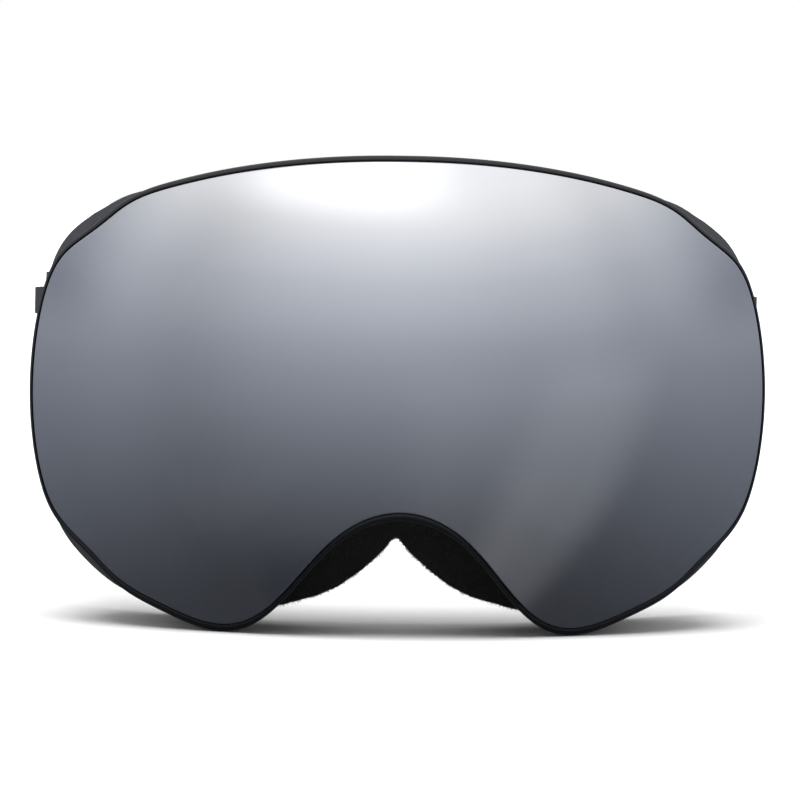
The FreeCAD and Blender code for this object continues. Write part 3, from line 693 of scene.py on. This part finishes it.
def fuzz(name, source, material, share=1.0):
    """Fleece fibres over a piece's surface."""
    sizes = bpy.context.scene.goggle_sizes
    tree = bpy.data.node_groups.get("fleece_fibres") or fibre_group()
    return grown(name, source.data.copy(), tree, Density=sizes.fibre_density * share,
                 Length=sizes.fibre_length, Width=FIBRE_WIDTH, Seed=sizes.seed,
                 Material=material)


def rides(obj, body, *nodes, slot):
    """Puts a piece on its body, in place of the CAD nodes that it stands for."""
    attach(obj, body)
    if nodes:
        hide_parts(*nodes)


def finish_node(node, material):
    """Gives a CAD node, whose shape is right, its material."""
    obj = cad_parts[node]
    obj.data.materials.clear()
    obj.data.materials.append(material)


def lens_outline():
    return outline(edge_loops("outer_lens", on_sphere(LENS_R))[0])


# ---------------------------------------------------------------- operators
class GOGGLES_OT_lenses(Operator):
    """Mirror lens, clear inner lens and the foam between them"""
    bl_idname = "goggles.lenses"
    bl_label = "Lenses"

    def execute(self, context):
        colours = context.scene.goggle_colours
        edge = lens_outline()
        outer = dome("mirror_lens", edge, LENS_R, LENS_R - LENS_WALL, 0.3 * MM,
                     mirror_polycarbonate(colours.mirror))
        rides(outer, "lens_cassette", "outer_lens", slot="mirror_lens")
        gap_r = LENS_R - LENS_WALL - AIR_GAP
        inner_edge = edge - outwards(edge) * INNER_LENS_INSET
        inner = dome("clear_inner_lens", inner_edge, gap_r, gap_r - INNER_WALL, 0.2 * MM,
                     clear_acetate())
        rides(inner, "lens_cassette", "inner_lens", slot="inner_lens")
        self.spacer(edge, gap_r)
        return {"FINISHED"}

    def spacer(self, edge, back_r):
        """Closed-cell gasket, its inner wall pinched in by the two lenses."""
        front_r = LENS_R - LENS_WALL
        section = [(0, -SPACER_INSET, on_sphere(r)) for r in (front_r, back_r)]
        for share in np.linspace(0, 1, 7):
            bow = 0.4 * MM * math.sin(math.pi * share)
            section.append((0, -SPACER_INSET - SPACER_WIDTH + bow,
                            on_sphere(back_r + (front_r - back_r) * share)))
        material = open_cell_foam("closed_cell_spacer_foam", srgb("#1A1A1D"), 0.5 * MM)
        ring = sweep("spacer_gasket", edge, edge, section, material)
        smooth(ring, 40)
        rides(ring, "lens_cassette", "lens_spacer", slot="spacer_foam")


class GOGGLES_OT_rim(Operator):
    """Rim round the lenses, with its magnets"""
    bl_idname = "goggles.rim"
    bl_label = "Lens rim"

    def execute(self, context):
        edge = lens_outline()
        rim_edge = outline(edge_loops("lens_carrier", on_sphere(LENS_R))[0])
        material = moulded_plastic("satin_nylon_rim", context.scene.goggle_colours.rim, 0.42,
                                   specular=0.28)
        fit = 0.08 * MM
        front = LENS_R - 0.15 * MM
        section = [
            (0, fit, on_sphere(SEAT_R)), (0, fit, on_sphere(LENS_R - 1.2 * MM)),
            (0, fit + 0.1 * MM, on_sphere(front - 0.25 * MM)), (0.35, 0, on_sphere(front)),
            (0.7, 0, on_sphere(front - 0.12 * MM)), (0.92, 0, on_sphere(front - 0.45 * MM)),
            (1, 0, on_sphere(front - 1.0 * MM)), (1, 0, on_sphere(RIM_BACK_R + 1.0 * MM)),
            (1, -0.12 * MM, on_sphere(RIM_BACK_R + 0.3 * MM)),
            (1, -0.4 * MM, on_sphere(RIM_BACK_R)), (0, -5.7 * MM, on_sphere(RIM_BACK_R)),
            (0, -6.0 * MM, on_sphere(RIM_BACK_R + 0.3 * MM)),
            (0, -6.0 * MM, on_sphere(SEAT_R - 0.3 * MM)), (0, -5.7 * MM, on_sphere(SEAT_R)),
        ]
        rim = sweep("lens_rim", edge, rim_edge, section, material)
        self.cut_pockets(rim)
        smooth(rim, 40)
        rides(rim, "lens_cassette", "lens_carrier", slot="rim_plastic")
        plating = nickel_plate()
        finish_node("lens_magnets", plating)
        finish_node("frame_magnets", plating)
        return {"FINISHED"}

    def cut_pockets(self, rim):
        """Recesses for the magnets: the discs' own shapes, a little larger and deeper."""
        cutter = reworked(node_copy("pocket_cutter", "lens_magnets"), self.enlarge_discs)
        modify(rim, "BOOLEAN", operation="DIFFERENCE", solver="EXACT", object=cutter)
        applied(rim)
        bpy.data.objects.remove(cutter)

    def enlarge_discs(self, mesh):
        merge_doubles(mesh, CAD_DOUBLE)
        seen = set()
        for start in mesh.verts:
            if start in seen:
                continue
            disc, todo = [], [start]
            while todo:
                vertex = todo.pop()
                if vertex in seen:
                    continue
                seen.add(vertex)
                disc.append(vertex)
                todo.extend(e.other_vert(vertex) for e in vertex.link_edges)
            middle = sum((v.co for v in disc), Vector()) / len(disc)
            axis = (LENS_CENTRE - middle).normalized()
            for vertex in disc:
                step = vertex.co - middle
                deep = step.dot(axis)
                vertex.co = middle + (step - axis * deep) * POCKET_WIDER + axis * deep
                if deep > 0:
                    vertex.co += axis * POCKET_DEEPER


class GOGGLES_OT_frame(Operator):
    """Soft frame and the foam behind its vents"""
    bl_idname = "goggles.frame"
    bl_label = "Frame"

    def execute(self, context):
        finish_node("frame", moulded_plastic(
            "matt_polyurethane_frame", context.scene.goggle_colours.shell, 0.55,
            grain=0.5 * MM, depth=0.04 * MM))
        foam = open_cell_foam("reticulated_vent_foam", srgb("#1D1D20"), 1.0 * MM)
        for place in ("top", "left", "right"):
            node = "vent_foam_" + place
            strip = node_copy("vent_strip_" + place, node, foam)
            soften(strip, 0.6 * MM, 2, 0.4 * MM, 1.2 * MM)
            rides(strip, "frame", node, slot="vent_foam")
        return {"FINISHED"}


class GOGGLES_OT_face_foam(Operator):
    """Three layers of face foam, the last one fleece"""
    bl_idname = "goggles.face_foam"
    bl_label = "Face foam"

    def execute(self, context):
        loops = edge_loops("face_foam_mid", on_drum(FACE_R + FLEECE_T))
        outer, inner = outline(loops[0]), outline(loops[1])
        fleece = brushed_fleece(context.scene.goggle_colours.fleece)
        layers = (
            ("foam_layer_firm", "face_foam_base", FACE_R + FLEECE_T + MID_T, BASE_T,
             0.5 * MM, 0.35 * MM, "base_foam",
             open_cell_foam("firm_polyurethane_foam", srgb("#1B1B1E"), 0.7 * MM)),
            ("foam_layer_soft", "face_foam_mid", FACE_R + FLEECE_T, MID_T,
             0.7 * MM, 0.3 * MM, "mid_foam",
             open_cell_foam("soft_polyurethane_foam", srgb("#141416"), 0.5 * MM)),
            ("fleece_layer", "face_fleece", FACE_R, FLEECE_T, 0.65 * MM, 0.0, "fleece", fleece),
        )
        for name, node, face_r, depth, rounding, bulge, slot, material in layers:
            ring = sweep(name, outer, inner,
                         self.section(face_r, face_r + depth - 0.02 * MM, rounding, bulge),
                         material)
            uneven(ring, 0.12 * MM, 6 * MM)
            smooth(ring)
            rides(ring, "frame", node, slot=slot)
            if node == "face_fleece":
                nap = fuzz("fleece_nap", ring, fleece)
                rides(nap, "frame", slot="fleece")
        return {"FINISHED"}

    def section(self, face_r, front_r, rounding, bulge):
        """A layer between two drums, its four edges rounded and its walls bulging."""
        rows = []
        turns = [math.radians(a) for a in (0, 30, 60, 90)]
        straight = front_r - face_r - 2 * rounding
        for edge, sign, near_r, far_r in ((0, 1, face_r, front_r), (1, -1, front_r, face_r)):
            def corner(a, radius, turned):
                return (edge, -sign * rounding * (1 - math.sin(a)),
                        on_drum(radius + turned * sign * rounding * (1 - math.cos(a))))

            rows += [corner(a, near_r, 1) for a in turns]
            rows += [(edge, sign * bulge * math.sin(math.pi * share),
                      on_drum(near_r + sign * (rounding + straight * share)))
                     for share in (0.25, 0.5, 0.75)]
            rows += [corner(a, far_r, -1) for a in turns[::-1]]
            rows += [(share, 0, on_drum(far_r))
                     for share in np.linspace(0.08, 0.92, 12)[::sign]]
        return rows


class GOGGLES_OT_nose_seal(Operator):
    """Two fleece-covered flaps, sewn together over the nose"""
    bl_idname = "goggles.nose_seal"
    bl_label = "Nose seal"

    def execute(self, context):
        fleece = brushed_fleece(context.scene.goggle_colours.fleece)
        flaps = [node_copy("flap", "nose_flap_" + hand, fleece) for _, hand in SIDES]
        seal = join_parts("nose_seal", flaps)
        for vertex in seal.data.vertices:
            if abs(vertex.co.x) < NOSE_OVERLAP:
                vertex.co.x = -math.copysign(NOSE_OVERLAP, vertex.co.x)
        soften(seal, 0.6 * MM, 4, 0.5 * MM, 3.0 * MM, shrink=0.5 * MM)
        rides(seal, "frame", "nose_flap_left", "nose_flap_right", slot="fleece")
        nap = fuzz("nose_nap", seal, fleece, share=1.3)
        rides(nap, "frame", slot="fleece")
        return {"FINISHED"}


class GOGGLES_OT_arms(Operator):
    """Hinged strap arms, their pins and the strap adjusters"""
    bl_idname = "goggles.arms"
    bl_label = "Arms"

    def execute(self, context):
        nylon = moulded_plastic("glass_filled_nylon_arm", srgb("#1C1D20"), 0.48,
                                grain=0.4 * MM, depth=0.03 * MM)
        acetal = moulded_plastic("acetal_adjuster", srgb("#141517"), 0.38)
        steel = drawn_steel()
        for side, hand in SIDES:
            arm = moulded_copy("strap_arm_" + hand, "outrigger_" + hand, 0.4 * MM, nylon)
            rides(arm, "outrigger_" + hand, "outrigger_" + hand, slot="arm_plastic")
            slider = moulded_copy("adjuster_" + hand, "strap_slider_" + hand, 0.5 * MM, acetal)
            rides(slider, "slider_" + hand, "strap_slider_" + hand, slot="slider_plastic")
            finish_node("hinge_pin_" + hand, steel)
        return {"FINISHED"}


def resampled(points, spacing):
    """A polyline resampled evenly and eased at its kinks."""
    points = np.array(points)
    run = np.concatenate(([0.0], np.cumsum(np.linalg.norm(np.diff(points, axis=0), axis=1))))
    places = np.linspace(0, run[-1], max(3, round(run[-1] / spacing)))
    path = np.column_stack([np.interp(places, run, points[:, i]) for i in (0, 1)])
    for _ in range(2):
        path[1:-1] = (path[:-2] + 2 * path[1:-1] + path[2:]) / 4
    return path


def web(name, path, side, material):
    """A flat web along a plan path in the strap's frame, ribbed along its length."""
    sizes = bpy.context.scene.goggle_sizes
    along = np.gradient(path, axis=0)
    along /= np.linalg.norm(along, axis=1)[:, None]
    normal = np.column_stack((along[:, 1], -along[:, 0]))
    half = WEB_T / 2
    flat = np.linspace(half - WEB_HALF, WEB_HALF - half, 101)
    rib = sizes.rib_height * (np.cos(2 * math.pi * flat / sizes.rib_pitch) - 1) / 2
    section = []
    for sign in (1, -1):
        section += [(sign * (half + r), sign * z) for z, r in zip(flat, rib)]
        section += [(sign * half * math.cos(a), sign * (flat[-1] + half * math.sin(a)))
                    for a in map(math.radians, (45, 90, 135))]
    rows = []
    for offset, z in section:
        plan = path + normal * offset
        rows.append([STRAP_PLACE @ Vector((side * x, y, z)) for x, y in plan])
    rows = np.array([[tuple(p) for p in row] for row in rows])
    return smooth(reworked(grid_mesh(name, rows, material, True, False), fill_holes), 60)


def strap_path():
    """Plan of half the strap: outer leg, loop round the bar, side, back."""
    points = [(LEG_X, LEG_BACK)]
    for x, y, radius, turns in ((HINGE_X, BAR_BACK, LOOP_R, range(360, 179, -15)),
                                (0.0, ARC_BACK, WEB_X, range(0, 91, 2))):
        points += [(x + radius * math.cos(a), y + radius * math.sin(a))
                   for a in map(math.radians, turns)]
    return points


class GOGGLES_OT_strap(Operator):
    """Head strap, its sewn ends and its silicone grip lines"""
    bl_idname = "goggles.strap"
    bl_label = "Strap"

    def execute(self, context):
        elastic = knitted_elastic(context.scene.goggle_colours.webbing)
        thread = stitch_thread()
        grip = silicone()
        start = STRAP_PLACE @ Vector((0, BEND_START, 0))
        end = STRAP_PLACE @ Vector((0, BEND_END, 0))
        for side, hand in SIDES:
            path = resampled(strap_path(), 1.1 * MM)
            strap = web("strap_" + hand, path, side, elastic)
            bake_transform(strap)
            nodes = ["strap_side_" + hand] + (["strap_band"] if side > 0 else [])
            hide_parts(*nodes)
            self.return_layer(side, hand, elastic)
            self.stitching(side, hand, thread)
            self.grips(side, hand, grip, start, end)
        return {"FINISHED"}

    def return_layer(self, side, hand, elastic):
        """The layer from the sewn leg to the adjuster's centre bar."""
        points = [(LEG_X, LEG_BACK + 0.5 * MM), (LEG_X, 43.5 * MM),
                  (LEG_X + 1.5 * MM, 48 * MM), (LEG_X + 2.2 * MM, 51 * MM),
                  (LEG_X + 2.2 * MM, 57.5 * MM)]
        layer = web("strap_return_web_" + hand, resampled(points, 0.8 * MM), side, elastic)
        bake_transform(layer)
        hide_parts("strap_return_" + hand)

    def stitching(self, side, hand, thread):
        """A box of stitches through both layers, behind the bar."""
        sizes = bpy.context.scene.goggle_sizes
        front, back, half = 33.5 * MM, 37.2 * MM, 17.5 * MM
        lean = (HINGE_X + LOOP_R - LEG_X) / (LEG_BACK - BAR_BACK)
        outside = LEG_X + WEB_T / 2 + 0.05 * MM
        inside = WEB_X - WEB_T / 2
        points, edges = [], []
        leaning = [outside + lean * (LEG_BACK - y) for y in (front, back)]
        for near, far in (leaning, (inside, inside)):
            base = len(points)
            points += [(near, front, -half), (far, back, -half), (far, back, half),
                       (near, front, half)]
            edges += [(base + i, base + (i + 1) % 4) for i in range(4)]
        mesh = bpy.data.meshes.new("seam")
        mesh.from_pydata([STRAP_PLACE @ Vector((side * x, y, z)) for x, y, z in points], edges, [])
        tree = bpy.data.node_groups.get("seam_stitches") or stitch_group()
        seam = grown("stitching_" + hand, mesh, tree, Pitch=sizes.stitch_pitch,
                     Thread=THREAD, Material=thread)
        rides(seam, "outrigger_" + hand, slot="strap_webbing")

    def grips(self, side, hand, grip, start, end):
        """Three printed lines inside the band, behind the head."""
        radius = WEB_X - WEB_T / 2 - 0.15 * MM
        round_head = [math.radians(a) for a in np.linspace(20, 90, 60)]
        parts = []
        for height in GRIP_HEIGHTS:
            rows = []
            for turn in np.linspace(0, 2 * math.pi, 9)[:-1]:
                reach = radius + GRIP_T * math.cos(turn)
                z = height + GRIP_HALF * math.sin(turn)
                rows.append([tuple(STRAP_PLACE @ Vector(
                    (side * reach * math.cos(a), ARC_BACK + reach * math.sin(a), z)))
                    for a in round_head])
            parts.append(grid_mesh("grip_line", np.array(rows), grip, True, False))
        joined = smooth(reworked(join_parts("grip_lines_" + hand, parts), fill_holes), 60)
        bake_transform(joined)
        if side > 0:
            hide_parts("strap_grips")


# ------------------------------------------------------------------ studio
# Brightness of the studio by height, from straight down to straight up, as
# (degrees above the horizon, share of full brightness).
STUDIO_HEIGHTS = (
    (-90, 0.03), (-50, 0.035), (-35, 0.06), (-20, 0.12), (-6, 0.188), (9, 0.309),
    (23, 0.485), (31, 0.604), (38, 0.775), (46, 0.90), (60, 0.96), (90, 0.96),
)
# Brightness of the studio round the object, as (degrees from straight ahead of
# the lens towards the wearer's left, share).
STUDIO_SIDES = (
    (-180, 0.60), (-90, 0.76), (-69, 0.81), (-54, 0.69), (-38, 0.85), (-24, 0.92),
    (0, 1.0), (19, 0.93), (34, 0.87), (50, 0.86), (63, 0.73), (90, 0.81), (180, 0.60),
)
# Soft boxes that the lens reflects: degrees round from straight ahead, half width,
# lowest and highest edge above the horizon, how much they add, and how far round
# they lean for each degree up.
REFLECTED_PANELS = (
    (-23, 32, 42, 90, 0.27, 0.0),
    (52, 14, -60, 4, 0.042, 0.30),
    (20, 16, -50, 2, 0.016, 0.0),
    (-30, 14, -70, -42, -0.010, 0.0),
    (-112, 26, 10, 60, -0.10, 0.0),
    (112, 26, 10, 60, -0.10, 0.0),
)
# Degrees over which a panel's lower and upper edges fade, on either side.
PANEL_FADE = 6
REFLECTED_STRENGTH = 1.95
DOME_STRENGTH = 0.74
BACKDROP_STRENGTH = 1.0
# The gradient is neutral above the first brightness, and coolest this far below.
COOL_BELOW = 0.75
COOL_RANGE = 0.6
KEY_STRENGTH = 3.6
KEY_ANGLE = 50
KEY_TURN = (17, 0, -14)
FLOOR_REACH = 6.0
CAMERA_AWAY = 1.3
CAMERA_TURN = -1.56
CAMERA_RAISE = 3
CAMERA_ROLL = 0.846
CAMERA_LENS = 242.8
CAMERA_TARGET = Vector((0, APEX_Y + 25 * MM, 56.7 * MM))


class GOGGLES_OT_studio(Operator):
    """White floor, soft light and the camera"""
    bl_idname = "goggles.studio"
    bl_label = "Studio"

    def execute(self, context):
        scene = context.scene
        scene.view_settings.view_transform = "Standard"
        self.floor()
        self.surroundings(scene)
        self.key_light(scene)
        self.camera(scene)
        return {"FINISHED"}

    def floor(self):
        mesh = bpy.data.meshes.new("floor")
        mesh.from_pydata([(x * FLOOR_REACH, y * FLOOR_REACH, 0)
                          for x, y in ((-1, -1), (1, -1), (1, 1), (-1, 1))],
                         [], [(0, 1, 2, 3)])
        material, _, _ = new_material("white_paper_floor", Base_Color=srgb("#F6F6F6"),
                                      Roughness=0.9)
        floor = link_mesh("floor", mesh, material)
        floor.visible_glossy = False

    def surroundings(self, scene):
        """A soft gradient for reflections, a plain white dome for light."""
        world = bpy.data.worlds.new("studio")
        scene.world = world
        world.use_nodes = True
        tree = world.node_tree
        tree.nodes.clear()
        where = add(tree, "ShaderNodeTexCoord")
        split = add(tree, "ShaderNodeSeparateXYZ", {0: where.outputs["Generated"]})
        height = maths(tree, "ARCSINE", split.outputs[2])
        up = self.ramp(tree, height, STUDIO_HEIGHTS, 90, cooled=True)
        turn = maths(tree, "ARCTAN2", split.outputs[0],
                     maths(tree, "MULTIPLY", split.outputs[1], -1.0))
        round_ = self.ramp(tree, turn, STUDIO_SIDES, 180)
        gradient = add(tree, "ShaderNodeVectorMath", {0: up, 1: round_}, operation="MULTIPLY")
        panels = gradient.outputs[0]
        for turned, half_width, low, high, level, lean in REFLECTED_PANELS:
            leant = maths(tree, "MULTIPLY_ADD", height, -lean, turn)
            mask = self.panel(tree, height, leant, turned, half_width, low, high)
            extra = add(tree, "ShaderNodeVectorMath", {0: (level,) * 3, "Scale": mask},
                        operation="SCALE")
            panels = add(tree, "ShaderNodeVectorMath", {0: panels, 1: extra.outputs[0]},
                         operation="ADD").outputs[0]
        path = add(tree, "ShaderNodeLightPath")
        reflected = add(tree, "ShaderNodeBackground", {0: panels, 1: REFLECTED_STRENGTH})
        dome_light, backdrop = (add(tree, "ShaderNodeBackground", {0: (1, 1, 1, 1), 1: strength})
                                for strength in (DOME_STRENGTH, BACKDROP_STRENGTH))
        lit = add(tree, "ShaderNodeMixShader", {0: path.outputs["Is Glossy Ray"],
                                                1: dome_light.outputs[0],
                                                2: reflected.outputs[0]})
        seen = add(tree, "ShaderNodeMixShader", {0: path.outputs["Is Camera Ray"],
                                                 1: lit.outputs[0], 2: backdrop.outputs[0]})
        add(tree, "ShaderNodeOutputWorld", {0: seen.outputs[0]})

    def ramp(self, tree, angle, stops, reach, cooled=False):
        """Brightness by an angle in radians, eased between stops in degrees. Where
        cooled, the darker parts are bluer."""
        share = add(tree, "ShaderNodeMapRange",
                    {"Value": angle, "From Min": -math.radians(reach),
                     "From Max": math.radians(reach)})
        node = add(tree, "ShaderNodeValToRGB", {0: share.outputs[0]})
        node.color_ramp.interpolation = "B_SPLINE"
        elements = node.color_ramp.elements
        elements.remove(elements[1])
        for number, (degrees, level) in enumerate(stops):
            place = (degrees + reach) / (2 * reach)
            stop = elements[0] if number == 0 else elements.new(place)
            stop.position = place
            cool = max(0.0, min(1.0, (COOL_BELOW - level) / COOL_RANGE)) if cooled else 0.0
            stop.color = (level, level * (1 + 0.075 * cool), level * (1 + 0.25 * cool), 1)
        return node.outputs[0]

    def panel(self, tree, height, turn, turned, half_width, low, high):
        """A soft-edged patch of the surroundings, its place and size in degrees."""
        apart = maths(tree, "ABSOLUTE", maths(tree, "SUBTRACT", turn, math.radians(turned)))
        masks = []
        for value, shut, full in ((apart, half_width * 1.6, half_width * 0.4),
                                  (height, low - PANEL_FADE, low + PANEL_FADE),
                                  (height, high + PANEL_FADE, high - PANEL_FADE)):
            masks.append(add(tree, "ShaderNodeMapRange",
                             {"Value": value, "From Min": math.radians(shut),
                              "From Max": math.radians(full)},
                             interpolation_type="SMOOTHSTEP").outputs[0])
        return maths(tree, "MULTIPLY", maths(tree, "MULTIPLY", *masks[:2]), masks[2])

    def key_light(self, scene):
        """A broad soft key nearly overhead, which keeps the shadow under the goggles."""
        data = bpy.data.lights.new("key_softbox", "SUN")
        data.energy = KEY_STRENGTH
        data.angle = math.radians(KEY_ANGLE)
        light = bpy.data.objects.new("key_softbox", data)
        light.rotation_euler = [math.radians(a) for a in KEY_TURN]
        light.visible_glossy = False
        scene.collection.objects.link(light)

    def camera(self, scene):
        raised, turned = math.radians(CAMERA_RAISE), math.radians(CAMERA_TURN)
        back = Vector((math.sin(turned) * math.cos(raised),
                       -math.cos(turned) * math.cos(raised), math.sin(raised)))
        data = bpy.data.cameras.new("camera")
        data.lens = CAMERA_LENS
        data.sensor_width = 36.0
        camera = bpy.data.objects.new("camera", data)
        scene.collection.objects.link(camera)
        rotation = (-back).to_track_quat("-Z", "Y").to_matrix().to_4x4()
        rotation = rotation @ Matrix.Rotation(math.radians(CAMERA_ROLL), 4, "Z")
        camera.matrix_world = Matrix.Translation(CAMERA_TARGET + back * CAMERA_AWAY) @ rotation
        scene.camera = camera


STEPS = (
    GOGGLES_OT_studio,
    GOGGLES_OT_lenses,
    GOGGLES_OT_rim,
    GOGGLES_OT_frame,
    GOGGLES_OT_face_foam,
    GOGGLES_OT_nose_seal,
    GOGGLES_OT_arms,
    GOGGLES_OT_strap,
)


class GOGGLES_PT_panel(Panel):
    """Lists the settings and the pieces"""
    bl_idname = "GOGGLES_PT_panel"
    bl_label = "Ski goggles"
    bl_space_type = "VIEW_3D"
    bl_region_type = "UI"
    bl_category = "Goggles"

    def draw(self, context):
        for group in (context.scene.goggle_sizes, context.scene.goggle_colours):
            for name in group.__annotations__:
                self.layout.prop(group, name)
        for step in STEPS:
            self.layout.operator(step.bl_idname)


CLASSES = (GoggleSizes, GoggleColours, *STEPS, GOGGLES_PT_panel)


def register():
    for cls in CLASSES:
        bpy.utils.register_class(cls)
    bpy.types.Scene.goggle_sizes = PointerProperty(type=GoggleSizes)
    bpy.types.Scene.goggle_colours = PointerProperty(type=GoggleColours)


def unregister():
    del bpy.types.Scene.goggle_colours
    del bpy.types.Scene.goggle_sizes
    for cls in reversed(CLASSES):
        bpy.utils.unregister_class(cls)


def main():
    register()
    for step in STEPS:
        group, name = step.bl_idname.split(".")
        getattr(getattr(bpy.ops, group), name)()


if __name__ == "__main__":
    main()
